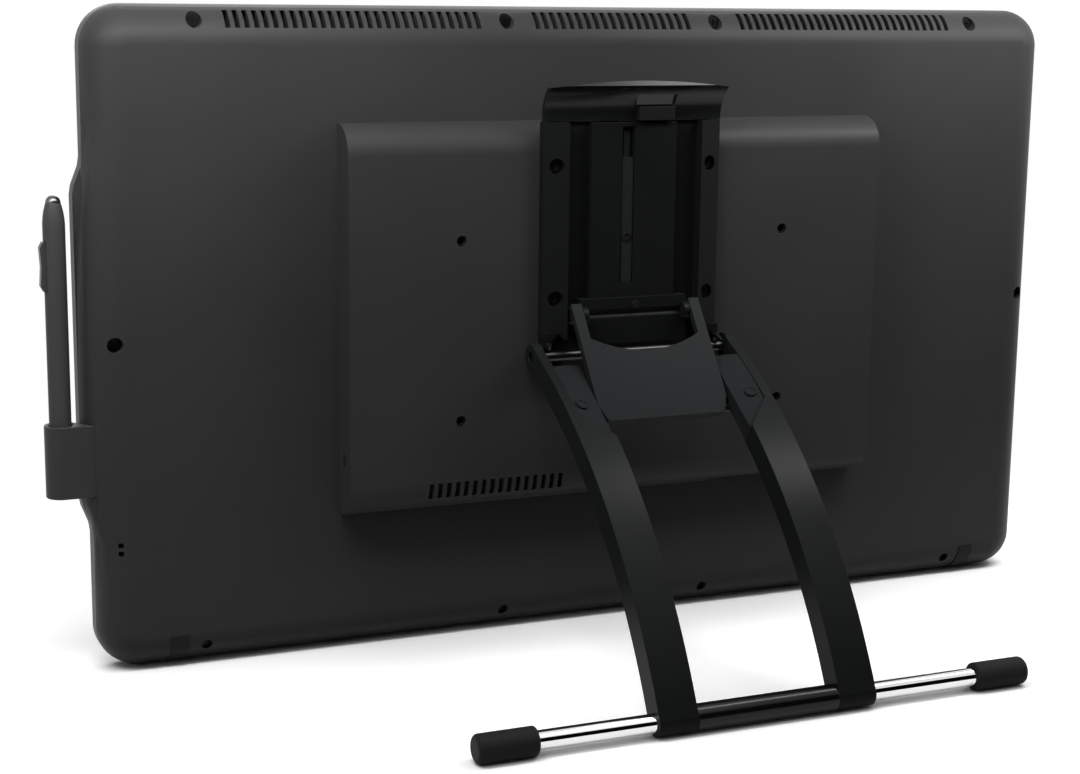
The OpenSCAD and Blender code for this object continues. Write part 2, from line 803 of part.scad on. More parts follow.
module release_lever() {
    arch_r = (lever_w * lever_w / 4 + lever_crown * lever_crown) / (2 * lever_crown);
    tip_z = bracket_top + (lever_r + lever_t) * sin(lever_curl);
    reach = curl_centre[0] + lever_r;
    color([0.14, 0.14, 0.145])
    difference() {
        union() {
            intersection() {
                along_x(-lever_w / 2, lever_w / 2) curl_shape();
                along_y(0, reach) translate([0, tip_z - arch_r]) circle(arch_r, $fn = 256);
            }
            mirrored() along_x(lug_xs[0] + lug_w + gap, lug_xs[1] - gap) {
                translate([lever_y, lever_z]) circle(lug_r);
            }
        }
        bar_x(-lever_w, lever_w, lever_y, lever_z, lever_pin_r + run_gap);
        mirrored() for (x = lug_xs) bar_x(x - gap, x + lug_w + gap, lever_y, lever_z, lug_r + gap);
        box([window_x - window_w / 2, 0, bracket_top + 9], [window_x + window_w / 2, reach, bracket_top + 14.6]);
    }
}

module latch_hook() {
    color([0.05, 0.05, 0.05])
    along_x(window_x - window_w / 2 + 1, window_x + window_w / 2 - 1) intersection() {
        translate(curl_centre) circle(lever_r - seat_gap, $fn = 128);
        translate([lever_y, bracket_top + gap]) square([lug_r + 6, 7.6]);
    }
}

module lever_pin() {
    color("silver")
    bar_x(-bracket_w / 2 + 4, bracket_w / 2 - 4, lever_y, lever_z, lever_pin_r);
}

// Carriage: plate on the guide, runners in the grooves and ears for the pivot pins
carriage_top = upper_z + 8.7;
carriage_bottom = hinge_z + shaft_r + 2;
ear_t = 3.2;
module carriage() {
    half = carriage_w / 2;
    color([0.11, 0.11, 0.115])
    difference() {
        union() {
            box([-half, slide_y, carriage_bottom], [half, slide_y + 2.6, carriage_top]);
            mirrored() {
                box([guide_w / 2 + gap, floor_y + gap, carriage_bottom], [half, slide_y + 1, carriage_top]);
                along_x(half - ear_t, half) {
                    translate([upper_pin_y, upper_z]) circle(upper_r + 2.2);
                    translate([slide_y, upper_z - 4.7]) square([upper_pin_y - slide_y, 9.4]);
                }
            }
        }
        bar_x(-half - past, half + past, upper_pin_y, upper_z, upper_r + seat_gap);
        bar_y(-1, upper_z + 4.5, slide_y - past, slide_y + 4, 1.2 + seat_gap);
    }
}

module carriage_pins() {
    color("silver")
    mirrored() bar_x(carriage_w / 2 - ear_t, carriage_w / 2 + arm_w, upper_pin_y, upper_z, upper_r);
}

module carriage_screw() {
    color("dimgray") {
        bar_y(-1, upper_z + 4.5, slide_y + 2.6, slide_y + 3.4, 2.2);
        bar_y(-1, upper_z + 4.5, slide_y + 0.3, slide_y + 2.8, 1.2);
    }
}

// Brace, drawn flat with its upper pivot at the origin and its lower pivot at brace_l, then turned
brace_end = 4.8;
barrel_r = 4.6;
brace_lift = 3;
module brace_outline() {
    half = brace_w / 2;
    low = brace_l + barrel_r;
    arm_in = half - arm_w;
    cut_r = (arm_in * arm_in + 81) / 18;
    difference() {
        polygon([[-half, -brace_end], [half, -brace_end], [half, low - 10], [half - 4, low],
                 [-half + 4, low], [-half, low - 10]]);
        translate([-arm_in, -brace_end - past]) square([2 * arm_in, brace_cut - 9 + brace_end + past]);
        intersection() {
            translate([0, brace_cut - cut_r]) circle(cut_r, $fn = 128);
            translate([-arm_in, 0]) square([2 * arm_in, brace_cut + past]);
        }
    }
}

// Notch in an arm's end, open towards the channel, that drops over the carriage's pin
module pin_notch() {
    r = upper_r + 0.6;
    circle(r);
    polygon([[-r, 0], [r, 0], [r + 4, -8], [-r - 4, -8]]);
}

module brace_frame() {
    translate([0, upper_pin_y, upper_z]) rotate([brace_dir, 0, 0]) children();
}

module brace_plate() {
    color([0.38, 0.38, 0.39])
    brace_frame()
    difference() {
        union() {
            translate([0, 0, brace_lift - brace_t / 2]) linear_extrude(brace_t) brace_outline();
            bar_x(-brace_w / 2 + 4.5, brace_w / 2 - 4.5, brace_l, 0, barrel_r);
            mirrored() bar_x(brace_w / 2 - arm_w, brace_w / 2, 0, 0, brace_end);
        }
        bar_x(-brace_w, brace_w, brace_l, 0, lower_r + run_gap);
        along_x(-brace_w, brace_w) rotate(-brace_dir - 90) pin_notch();
    }
}

module brace_pin() {
    color("silver")
    bar_x(-legs_w / 2 + 1, legs_w / 2 - 1, lower_y, lower_z, lower_r);
}

module hinge_shaft() {
    color("silver")
    bar_x(-legs_w / 2 + 1, legs_w / 2 - 1, hinge_y, hinge_z, shaft_r);
}

// Part of the legs' arc, from one share of it to another, drawn in Y and Z
function on_arc(share, r) =
    let (a = leg_dir + 90 + leg_turn / 2 - leg_turn * share)
    leg_centre + r * [cos(a), sin(a)];

module arc_band(from, to, depth) {
    far = 2 * leg_r;
    intersection() {
        translate(leg_centre) difference() {
            circle(leg_r + depth / 2, $fn = 256);
            circle(leg_r - depth / 2, $fn = 256);
        }
        polygon([leg_centre, on_arc(from, far), on_arc(to, far)]);
    }
}

// Frame on a leg's step: Y runs down the leg and Z points out of its back
leg_frame_dir = leg_dir + leg_turn * (0.5 - step_top);
leg_arc_l = leg_r * leg_turn * PI / 180;
module leg_frame() {
    at = on_arc(step_top, leg_r);
    translate([0, at[0], at[1]]) rotate([leg_frame_dir, 0, 0]) children();
}

// Room above the step, which slants from the outer wall down to the leg's inner edge
module step_room(back) {
    x_in = legs_w / 2 - leg_w;
    low = (step_low - step_top) * leg_arc_l;
    leg_frame() translate([0, 0, -leg_d]) linear_extrude(2 * leg_d)
        polygon([[leg_inner, -leg_arc_l], [leg_inner, -back], [x_in, low - back],
                 [x_in - past, low - back], [x_in - past, -leg_arc_l]]);
}

module leg() {
    difference() {
        along_x(legs_w / 2 - leg_w, legs_w / 2) {
            arc_band(0, 1, leg_d);
            translate([hinge_y, hinge_z]) circle(eye_r);
            translate([foot_y, foot_z]) circle(foot_r);
        }
        step_room(0);
        bar_x(0, legs_w, hinge_y, hinge_z, shaft_r + run_gap);
        bar_x(0, legs_w, lower_y, lower_z, lower_r + seat_gap);
        bar_x(0, legs_w, foot_y, foot_z, tube_r + seat_gap);
    }
}

// Steel cheek beside a leg's upper wall, sloped towards the brace, which takes the load of its pin
cheek_from = 0.075;
cheek_top = leg_d / 2 - 0.85;
keeper_x = leg_inner - 5.5;
keeper_r = 3.6;
cheek_slope = atan(cheek_fall / (leg_w - leg_wall));
module cheek() {
    x_in = legs_w / 2 - leg_w + gap;
    difference() {
        intersection() {
            along_x(x_in, leg_inner) arc_band(cheek_from, step_low, leg_d - 1);
            step_room(seat_gap);
            leg_frame() translate([leg_inner, 0, cheek_top]) rotate([0, -cheek_slope, 0])
                box([-2 * leg_w, -leg_arc_l, -2 * leg_d], [leg_w, leg_arc_l, 0]);
        }
        bar_x(0, legs_w, lower_y, lower_z, lower_r + seat_gap);
        keeper_frame() translate([0, 0, -keeper_l - past]) cylinder(h = keeper_l + 2 * past, r = 1.5 + seat_gap);
    }
}

// Place of a keeper screw on the cheek's slope, above the brace's pin
keeper_l = 2;
keeper_y = -(step_top - 0.2085) * leg_arc_l;
module keeper_frame() {
    leg_frame() translate([leg_inner, keeper_y, cheek_top]) rotate([0, -cheek_slope, 0])
        translate([keeper_x - leg_inner, 0, 0]) children();
}

// Round-headed screws that keep the brace's pin in the cheeks
module pin_keepers() {
    color("gray")
    mirrored() keeper_frame() difference() {
        union() {
            translate([0, 0, seat_gap]) cylinder(h = 1.1, r = keeper_r);
            translate([0, 0, -keeper_l]) cylinder(h = keeper_l + 0.5, r = 1.5);
        }
        translate([0, 0, 0.7]) cylinder(h = past, r = keeper_r - 1.2);
    }
}

module cheek_left() {
    color([0.4, 0.4, 0.41]) cheek();
}

module cheek_right() {
    color([0.4, 0.4, 0.41]) mirror([1, 0, 0]) cheek();
}

module leg_left() {
    color([0.12, 0.12, 0.125]) leg();
}

module leg_right() {
    color([0.12, 0.12, 0.125]) mirror([1, 0, 0]) leg();
}

module foot_tube() {
    color("whitesmoke")
    difference() {
        bar_x(-tube_l / 2, tube_l / 2, foot_y, foot_z, tube_r);
        bar_x(-tube_l / 2 - past, tube_l / 2 + past, foot_y, foot_z, tube_r - 1.2);
    }
}

module foot_sleeve() {
    half = legs_w / 2 - leg_w;
    color([0.07, 0.07, 0.075])
    difference() {
        bar_x(-half, half, foot_y, foot_z, foot_r);
        bar_x(-half - past, half + past, foot_y, foot_z, tube_r + seat_gap);
    }
}

// Rubber cap with a rounded end, pushed on the tube
cap_round = 2.5;
module foot_cap() {
    translate([caps_w / 2 - cap_l, foot_y, foot_z]) rotate([0, 90, 0]) rotate_extrude()
        difference() {
            union() {
                square([cap_r - cap_round, cap_l]);
                translate([0, 0.8]) square([cap_r, cap_l - cap_round - 0.8]);
                polygon([[0, 0], [cap_r - 0.8, 0], [cap_r, 0.8], [0, 0.8]]);
                translate([cap_r - cap_round, cap_l - cap_round]) circle(cap_round);
            }
            square([tube_r + seat_gap, tube_l / 2 - caps_w / 2 + cap_l]);
            translate([-cap_r, -past]) square([cap_r, cap_l + 2 * past]);
        }
}

module foot_cap_left() {
    color([0.15, 0.15, 0.155]) foot_cap();
}

module foot_cap_right() {
    color([0.15, 0.15, 0.155]) mirror([1, 0, 0]) foot_cap();
}

// Pen holder: round socket with a block that seats in the case's side
module pen_holder() {
    bottom = holder_top - holder_l;
    color([0.16, 0.16, 0.165])
    difference() {
        union() {
            translate([holder_x, pen_y, bottom]) cylinder(h = holder_l, r = holder_r);
            box([block_x, gap, bottom], [holder_x, block_d, holder_top]);
        }
        translate([holder_x, pen_y, pen_bottom - gap]) cylinder(h = holder_l, r = pen_r + 0.4);
        translate([holder_x, pen_y, holder_top - 1.2])
            cylinder(h = 1.2 + past, r1 = pen_r + 0.4, r2 = pen_r + 2);
    }
}

// Pen barrel: turned body with a cone at the writing end and a rounded tail
nose_l = 18;
module pen_barrel() {
    tail_r = 3.9;
    z_tail = pen_l - tail_l;
    swell = (taper_l * taper_l + (pen_r - tail_r) * (pen_r - tail_r)) / (2 * (pen_r - tail_r));
    color([0.17, 0.17, 0.175])
    difference() {
        translate([holder_x, pen_y, pen_bottom]) rotate_extrude()
            difference() {
                union() {
                    polygon([[0, 2.5], [2.4, 2.5], [pen_r, nose_l], [pen_r, z_tail - taper_l], [0, z_tail - taper_l]]);
                    intersection() {
                        translate([pen_r - swell, z_tail - taper_l]) circle(swell, $fn = 256);
                        translate([0, z_tail - taper_l - 0.01]) square([pen_r + past, taper_l + 0.01]);
                    }
                }
                translate([0, -past]) square([1 + run_gap, nib_l + 1.5 + past]);
            }
        box([holder_x + pen_r - 3.2, pen_y - 2.6 - gap, switch_z - gap],
            [holder_x + pen_r + 4, pen_y + 2.6 + gap, switch_z + switch_l + gap]);
    }
}

module pen_tail_cap() {
    tail_r = 3.9;
    color("silver")
    translate([holder_x, pen_y, pen_bottom + pen_l - tail_l]) rotate_extrude()
        intersection() {
            translate([0, tail_l - (tail_r * tail_r + tail_l * tail_l) / (2 * tail_l)])
                circle((tail_r * tail_r + tail_l * tail_l) / (2 * tail_l));
            square([tail_r + past, tail_l + past]);
        }
}

// Side switch: a rocker on a round ridge in the barrel's pocket
module pen_switch() {
    half = switch_l / 2;
    color([0.08, 0.08, 0.085])
    translate([holder_x + pen_r, pen_y, switch_z + half])
    union() {
        bar_y(-1.9, 0, -2.6, 2.6, 0.9);
        along_y(-2.6, 2.6)
            polygon([[-1.9, -half], [0.6, -half], [switch_proud, 3 - half], [switch_proud - 0.6, 0],
                     [switch_proud, half - 3], [0.6, half], [-1.9, half]]);
    }
}

module pen_nib() {
    color("black")
    translate([holder_x, pen_y, pen_bottom]) rotate_extrude()
        polygon([[0, 0], [0.6, 0.2], [1, 1], [1, nib_l], [0, nib_l]]);
}

placed() rear_cover();
placed() case_screws();
placed() vesa_inserts();
placed() rest_pads();
placed() front_bezel();
placed() cover_glass();
placed() lcd_panel();
placed() backlight_unit();
placed() sensor_board();
placed() chassis_plate();
placed() main_board();
placed() key_board();
placed() port_block();
placed() function_key(0);  // function_key_1
placed() function_key(1);  // function_key_2
placed() function_key(2);  // function_key_3
placed() function_key(3);  // function_key_4
placed() power_key();
placed() stand_bracket();
placed() guide_plate();
placed() bracket_screws();
placed() lock_bar();
placed() lock_screw();
placed() release_lever();
placed() latch_hook();
placed() lever_pin();
placed() carriage();
placed() carriage_pins();
placed() carriage_screw();
placed() brace_plate();
placed() brace_pin();
placed() pin_keepers();
placed() hinge_shaft();
placed() leg_left();
placed() leg_right();
placed() cheek_left();
placed() cheek_right();
placed() foot_tube();
placed() foot_sleeve();
placed() foot_cap_left();
placed() foot_cap_right();
placed() pen_holder();
placed() pen_barrel();
placed() pen_tail_cap();
placed() pen_switch();
placed() pen_nib();
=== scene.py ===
import json
from math import radians

import bpy
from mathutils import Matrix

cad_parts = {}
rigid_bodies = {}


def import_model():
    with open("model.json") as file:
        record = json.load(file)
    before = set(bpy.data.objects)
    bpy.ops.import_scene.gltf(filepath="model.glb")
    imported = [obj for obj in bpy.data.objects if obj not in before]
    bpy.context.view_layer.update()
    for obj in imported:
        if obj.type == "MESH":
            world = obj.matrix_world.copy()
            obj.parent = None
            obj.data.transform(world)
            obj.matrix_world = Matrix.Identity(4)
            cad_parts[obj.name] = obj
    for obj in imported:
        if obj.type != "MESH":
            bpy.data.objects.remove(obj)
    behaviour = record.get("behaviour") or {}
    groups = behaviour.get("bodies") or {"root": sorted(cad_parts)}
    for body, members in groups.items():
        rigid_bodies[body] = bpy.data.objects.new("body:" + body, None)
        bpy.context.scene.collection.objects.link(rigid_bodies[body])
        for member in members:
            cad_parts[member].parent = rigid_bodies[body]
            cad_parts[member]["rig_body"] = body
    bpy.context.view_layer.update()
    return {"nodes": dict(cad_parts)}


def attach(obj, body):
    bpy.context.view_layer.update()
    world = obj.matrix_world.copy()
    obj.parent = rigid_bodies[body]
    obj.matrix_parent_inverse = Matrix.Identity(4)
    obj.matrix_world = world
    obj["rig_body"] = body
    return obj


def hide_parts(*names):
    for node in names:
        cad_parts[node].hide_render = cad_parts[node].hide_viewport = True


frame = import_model()
bpy.ops.object.select_all(action="DESELECT")

# Rear cover: one large moulded shell of charcoal plastic with a fine spark-eroded grain, a raised
# hump for the electronics, cooling slots cut through the top rounding, and recessed screw pockets.


def even_shading(piece):
    """Smooth shading that keeps sharp edges, with normals weighted so that flat faces stay flat."""
    bpy.ops.object.shade_smooth_by_angle(angle=radians(30))
    level = piece.modifiers.new("flat faces stay flat", "WEIGHTED_NORMAL")
    level.weight = 100
    level.keep_sharp = True
    bpy.ops.object.modifier_apply(modifier=level.name)


def softened(node, width, segments=2, angle=32):
    """A copy of a CAD node's mesh with its doubles merged and its sharp edges broken."""
    source = frame["nodes"][node]
    skin = bpy.data.objects.new(node + "_skin", source.data.copy())
    bpy.context.scene.collection.objects.link(skin)
    bpy.ops.object.select_all(action="DESELECT")
    bpy.context.view_layer.objects.active = skin
    skin.select_set(True)
    bpy.ops.object.mode_set(mode="EDIT")
    bpy.ops.mesh.select_all(action="SELECT")
    bpy.ops.mesh.remove_doubles(threshold=0.000004)
    bpy.ops.mesh.dissolve_limited(angle_limit=radians(0.4))
    bpy.ops.object.mode_set(mode="OBJECT")
    edge = skin.modifiers.new("broken edge", "BEVEL")
    edge.width = width
    edge.segments = segments
    edge.limit_method = "ANGLE"
    edge.angle_limit = radians(angle)
    edge.use_clamp_overlap = True
    edge.miter_outer = "MITER_ARC"
    bpy.ops.object.modifier_apply(modifier=edge.name)
    even_shading(skin)
    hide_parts(node)
    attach(skin, source["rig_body"])
    return skin


def surface_group(name, layers):
    """A node group on Object coordinates: each layer is a noise with its size, stretch and detail."""
    group = bpy.data.node_groups.new(name, "ShaderNodeTree")
    for layer in layers:
        group.interface.new_socket(layer[0], in_out="OUTPUT", socket_type="NodeSocketFloat")
        size = group.interface.new_socket(layer[0] + " Size", in_out="INPUT", socket_type="NodeSocketFloat")
        size.default_value = layer[1]
    inlet = group.nodes.new("NodeGroupInput")
    outlet = group.nodes.new("NodeGroupOutput")
    place = group.nodes.new("ShaderNodeTexCoord")
    for layer in layers:
        stretch = group.nodes.new("ShaderNodeMapping")
        stretch.inputs["Scale"].default_value = layer[2]
        noise = group.nodes.new("ShaderNodeTexNoise")
        noise.inputs["Detail"].default_value = layer[3]
        noise.inputs["Roughness"].default_value = 0.6
        group.links.new(place.outputs["Object"], stretch.inputs["Vector"])
        group.links.new(stretch.outputs["Vector"], noise.inputs["Vector"])
        group.links.new(inlet.outputs[layer[0] + " Size"], noise.inputs["Scale"])
        group.links.new(noise.outputs["Fac"], outlet.inputs[layer[0]])
    return group


def finish(name, group, dark, light, rough, grain, depth, cloud, metallic=0.0, specular=0.5, sizes=None):
    """A material whose colour and roughness drift with the cloud layer and whose relief is the grain."""
    made = bpy.data.materials.new(name)
    made.use_nodes = True
    tree = made.node_tree
    shader = tree.nodes["Principled BSDF"]
    shader.inputs["Metallic"].default_value = metallic
    shader.inputs["Specular IOR Level"].default_value = specular
    layers = tree.nodes.new("ShaderNodeGroup")
    layers.node_tree = group
    for socket, value in (sizes or {}).items():
        layers.inputs[socket].default_value = value
    tint = tree.nodes.new("ShaderNodeValToRGB")
    tint.color_ramp.elements[0].position = 0.3
    tint.color_ramp.elements[0].color = (*dark, 1)
    tint.color_ramp.elements[1].position = 0.7
    tint.color_ramp.elements[1].color = (*light, 1)
    gloss = tree.nodes.new("ShaderNodeMapRange")
    gloss.inputs["From Min"].default_value = 0.3
    gloss.inputs["From Max"].default_value = 0.7
    gloss.inputs["To Min"].default_value = rough[0]
    gloss.inputs["To Max"].default_value = rough[1]
    relief = tree.nodes.new("ShaderNodeBump")
    relief.inputs["Strength"].default_value = 1.0
    relief.inputs["Distance"].default_value = depth
    tree.links.new(layers.outputs[cloud], tint.inputs["Fac"])
    tree.links.new(layers.outputs[cloud], gloss.inputs["Value"])
    tree.links.new(layers.outputs[grain], relief.inputs["Height"])
    tree.links.new(tint.outputs["Color"], shader.inputs["Base Color"])
    tree.links.new(gloss.outputs["Result"], shader.inputs["Roughness"])
    tree.links.new(relief.outputs["Normal"], shader.inputs["Normal"])
    return made


def dress(piece, material):
    """The piece's only material."""
    piece.data.materials.clear()
    piece.data.materials.append(material)


moulded = surface_group("moulded surface", [("Grain", 1400, (1, 1, 1), 2), ("Cloud", 7, (1, 1, 1), 3)])
cover_plastic = finish("charcoal moulded plastic", moulded, (0.030, 0.030, 0.0304), (0.034, 0.034, 0.0344),
                       (0.42, 0.5), "Grain", 0.00006, "Cloud", specular=0.12)
cover = softened("rear_cover", 0.0007, 2)

# The two ends of the bulge beside the pen melt into the soft edge: the faces between two heights are
# cut out, divided and smoothed, while the seam and the cut lines stay where they are.
bulge_ends = ((0.0745, 0.0965), (0.240, 0.290))
bulge_inside = 0.2585
seam_side = -0.1008
held_rim = 0.0005
held_inside = 0.002


def beside_pen(face):
    """True for a face that lies wholly in the soft edge on the pen's side."""
    return min(cover.data.vertices[i].co.x for i in face.vertices) > bulge_inside


for end_low, end_high in bulge_ends:
    for height in (end_low, end_high):
        for face in cover.data.polygons:
            face.select = beside_pen(face)
        bpy.ops.object.mode_set(mode="EDIT")
        bpy.ops.mesh.bisect(plane_co=(0, 0, height), plane_no=(0, 0, 1))
        bpy.ops.object.mode_set(mode="OBJECT")
    for face in cover.data.polygons:
        outward = face.normal.x + face.normal.y > 0.1
        face.select = beside_pen(face) and end_low < face.center.z < end_high and outward
    bpy.ops.object.mode_set(mode="EDIT")
    bpy.ops.mesh.select_mode(type="FACE")
    bpy.ops.mesh.quads_convert_to_tris()
    bpy.ops.mesh.subdivide(number_cuts=3)
    bpy.ops.mesh.select_mode(type="VERT")
    bpy.ops.object.mode_set(mode="OBJECT")
    for vertex in cover.data.vertices:
        free = end_low + held_rim < vertex.co.z < end_high - held_rim and vertex.co.y >= seam_side
        vertex.select = vertex.select and free and vertex.co.x > bulge_inside + held_inside
    bpy.ops.object.mode_set(mode="EDIT")
    bpy.ops.mesh.vertices_smooth(factor=0.5, repeat=320)
    bpy.ops.mesh.select_mode(type="FACE")
    bpy.ops.mesh.select_all(action="DESELECT")
    bpy.ops.object.mode_set(mode="OBJECT")
bpy.ops.mesh.customdata_custom_splitnormals_clear()
even_shading(cover)
dress(cover, cover_plastic)

# Front frame: the black moulded surround that carries the glass and the keys, closed on the cover
# with a hairline seam all round.
frame_plastic = finish("black frame plastic", moulded, (0.030, 0.030, 0.0305), (0.035, 0.035, 0.0355),
                       (0.42, 0.5), "Grain", 0.00005, "Cloud", specular=0.2)
dress(softened("front_bezel", 0.0012, 3), frame_plastic)

# Cover glass: one pane of etched glass over the whole front with a printed black border round the
# picture, cut and ground on its edges and bonded into the front frame.
glass_face = finish("etched cover glass", moulded, (0.006, 0.006, 0.007), (0.008, 0.008, 0.009),
                    (0.2, 0.24), "Grain", 0.00001, "Cloud", specular=0.5)
dress(softened("cover_glass", 0.0006, 2), glass_face)

# Panel stack and boards: glass panel, light unit, sensor board, pressed chassis and main board, laid
# one on another behind the glass and closed in by the cover.
rolled = surface_group("rolled metal", [("Lines", 60, (1, 1, 30), 3), ("Cloud", 12, (1, 1, 1), 2)])
pressed_sheet = finish("pressed bright sheet", rolled, (0.5, 0.5, 0.51), (0.58, 0.58, 0.59),
                       (0.3, 0.4), "Lines", 0.00001, "Cloud", metallic=1.0)
panel_film = finish("dark panel film", moulded, (0.01, 0.01, 0.012), (0.015, 0.015, 0.018),
                    (0.12, 0.18), "Grain", 0.000005, "Cloud")
solder_mask = finish("green solder mask", moulded, (0.01, 0.07, 0.03), (0.02, 0.1, 0.045),
                     (0.3, 0.4), "Grain", 0.00003, "Cloud")
dress(frame["nodes"]["lcd_panel"], panel_film)
dress(frame["nodes"]["backlight_unit"], pressed_sheet)
dress(frame["nodes"]["sensor_board"], solder_mask)
dress(frame["nodes"]["chassis_plate"], pressed_sheet)
dress(frame["nodes"]["main_board"], solder_mask)
dress(frame["nodes"]["key_board"], solder_mask)

# Keys: four function keys and the power key, moulded plastic caps held behind the front frame, each
# over its own small switch on the key board.
key_plastic = finish("key plastic", moulded, (0.03, 0.03, 0.031), (0.037, 0.037, 0.038),
                     (0.36, 0.44), "Grain", 0.00003, "Cloud")
for key in ("function_key_1", "function_key_2", "function_key_3", "function_key_4", "power_key"):
    dress(softened(key, 0.0004, 3), key_plastic)

# Socket block under the hump: a black glass-filled moulding with the power inlet and the signal
# sockets, soldered to the main board and set flush in the cover.
socket_plastic = finish("socket plastic", moulded, (0.005, 0.005, 0.005), (0.007, 0.007, 0.007),
                        (0.5, 0.6), "Grain", 0.00005, "Cloud", specular=0.1)
dress(softened("port_block", 0.0003, 2), socket_plastic)

# Screws and inserts: blackened steel screws with cross recesses, turned into the case and the stand,
# and blackened threaded inserts moulded into the hump for a mounting arm.
turned = surface_group("turned metal", [("Rings", 260, (1, 14, 1), 2), ("Cloud", 30, (1, 1, 1), 2)])
black_screw = finish("blackened screw", turned, (0.012, 0.012, 0.012), (0.025, 0.025, 0.025),
                     (0.3, 0.42), "Rings", 0.00002, "Cloud", metallic=0.6, specular=0.25)
black_insert = finish("blackened insert", turned, (0.006, 0.006, 0.006), (0.010, 0.010, 0.010),
                      (0.4, 0.5), "Rings", 0.00002, "Cloud", metallic=0.4, specular=0.2)
for screws in ("case_screws", "bracket_screws"):
    dress(softened(screws, 0.00015, 1), black_screw)
for screws in ("lock_screw", "carriage_screw"):
    dress(softened(screws, 0.00015, 1), black_insert)
dress(softened("vesa_inserts", 0.0002, 1), black_insert)

# Rubber: pads glued under the case, caps pushed on the ends of the foot tube, and a smoother sleeve
# over the tube between the legs.
rubber = finish("moulded rubber", moulded, (0.0115, 0.0121, 0.0126), (0.0145, 0.0153, 0.0159),
                (0.58, 0.7), "Grain", 0.00008, "Cloud", specular=0.12, sizes={"Grain Size": 1000})
dress(softened("rest_pads", 0.0002, 1), rubber)
sleeve_rubber = finish("smooth sleeve rubber", moulded, (0.004, 0.004, 0.0042), (0.0055, 0.0055, 0.0057),
                       (0.16, 0.22), "Grain", 0.00001, "Cloud", specular=0.2)
dress(softened("foot_sleeve", 0.0005, 2), sleeve_rubber)
for cap in ("foot_cap_left", "foot_cap_right"):
    dress(softened(cap, 0.0005, 2), rubber)

# Stand bracket, guide plate and carriage: pressed steel with a satin black powder coat. The bracket
# is screwed to the hump, and the carriage slides along the guide plate.
coated = surface_group("powder coat", [("Peel", 900, (1, 1, 1), 1.5), ("Cloud", 9, (1, 1, 1), 3)])
black_coat = finish("satin black coat", coated, (0.0064, 0.0070, 0.0069), (0.0078, 0.0085, 0.0083),
                    (0.36, 0.44), "Peel", 0.00003, "Cloud", specular=0.07)
for metal in ("stand_bracket", "guide_plate", "carriage"):
    dress(softened(metal, 0.0005, 2), black_coat)

# Release lever and hook: a curled paddle of glossy black plastic that turns on a steel pin across
# the bracket's top, with a duller hook that draws the lock bar.
lever_plastic = finish("glossy lever plastic", moulded, (0.0075, 0.0082, 0.0080), (0.0090, 0.0098, 0.0096),
                       (0.2, 0.26), "Grain", 0.00001, "Cloud", specular=0.2)
dress(softened("release_lever", 0.0006, 2), lever_plastic)
dress(softened("latch_hook", 0.0004, 2), socket_plastic)

# Brace, keepers, cheeks and lock bar: steel with a satin grey coat; the brace's arms hook on the
# carriage's pins, and the bar slides in the guide plate's slot.
grey_coat = finish("satin grey coat", coated, (0.0145, 0.0156, 0.0164), (0.0175, 0.0188, 0.0197),
                   (0.38, 0.46), "Peel", 0.00003, "Cloud", specular=0.03)
for metal in ("brace_plate", "pin_keepers", "cheek_left", "cheek_right", "lock_bar"):
    dress(softened(metal, 0.0004, 2), grey_coat)

# Pins and shaft: ground steel bars that the lever, the brace and the legs turn on. The legs' shaft
# is oiled and bright, the smaller pins are blackened.
dark_steel = finish("oiled dark steel", rolled, (0.030, 0.030, 0.031), (0.045, 0.045, 0.046),
                    (0.26, 0.34), "Lines", 0.000005, "Cloud", metallic=1.0)
dress(softened("hinge_shaft", 0.0003, 2), dark_steel)
for pin in ("lever_pin", "carriage_pins", "brace_pin"):
    dress(softened(pin, 0.0003, 2), black_insert)

# Legs: two bowed alloy bars with a dark satin coat, stepped at the top to take the cheeks and joined
# by the hinge shaft and the foot tube.
leg_coat = finish("dark leg coat", coated, (0.0110, 0.0118, 0.0122), (0.0135, 0.0145, 0.0150),
                  (0.26, 0.34), "Peel", 0.00002, "Cloud", specular=0.05)
for leg in ("leg_left", "leg_right"):
    dress(softened(leg, 0.0012, 3), leg_coat)

# Foot tube: a drawn steel tube with bright chrome plating, pushed through the lower ends of both
# legs.
chrome = finish("bright chrome", rolled, (0.72, 0.72, 0.73), (0.78, 0.78, 0.79),
                (0.05, 0.09), "Lines", 0.000002, "Cloud", metallic=1.0)
dress(softened("foot_tube", 0.0003, 2), chrome)

# Pen and its holder: a soft-coated barrel with a plated tail cap and a rocker switch, standing in a
# moulded socket whose block is set into the case's side.
dress(softened("pen_holder", 0.0008, 3), frame_plastic)
soft_coat = finish("soft pen coat", moulded, (0.042, 0.042, 0.0426), (0.048, 0.048, 0.0486),
                   (0.48, 0.56), "Grain", 0.00003, "Cloud", specular=0.2)
dress(softened("pen_barrel", 0.0003, 2), soft_coat)
satin_plate = finish("satin plate", turned, (0.10, 0.10, 0.103), (0.14, 0.14, 0.144),
                     (0.24, 0.32), "Rings", 0.000004, "Cloud", metallic=1.0)
dress(softened("pen_tail_cap", 0.0002, 2), satin_plate)
dress(softened("pen_switch", 0.0003, 2), key_plastic)
dress(softened("pen_nib", 0.0001, 1), socket_plastic)

# Studio: a white floor that runs into a white background. Only seen and mirrored rays meet the bright
# paper, and its own glow is dimmed by ambient occlusion close to the object, which paints a contact shadow
# on the floor.


def seen_ray(tree):
    """1 on rays from the camera and on mirrored or refracted ones, 0 on diffuse light."""
    ray = tree.nodes.new("ShaderNodeLightPath")
    total = ray.outputs["Is Camera Ray"]
    for kind in ("Is Glossy Ray", "Is Transmission Ray"):
        join = tree.nodes.new("ShaderNodeMath")
        join.operation = "MAXIMUM"
        tree.links.new(total, join.inputs[0])
        tree.links.new(ray.outputs[kind], join.inputs[1])
        total = join.outputs["Value"]
    return total


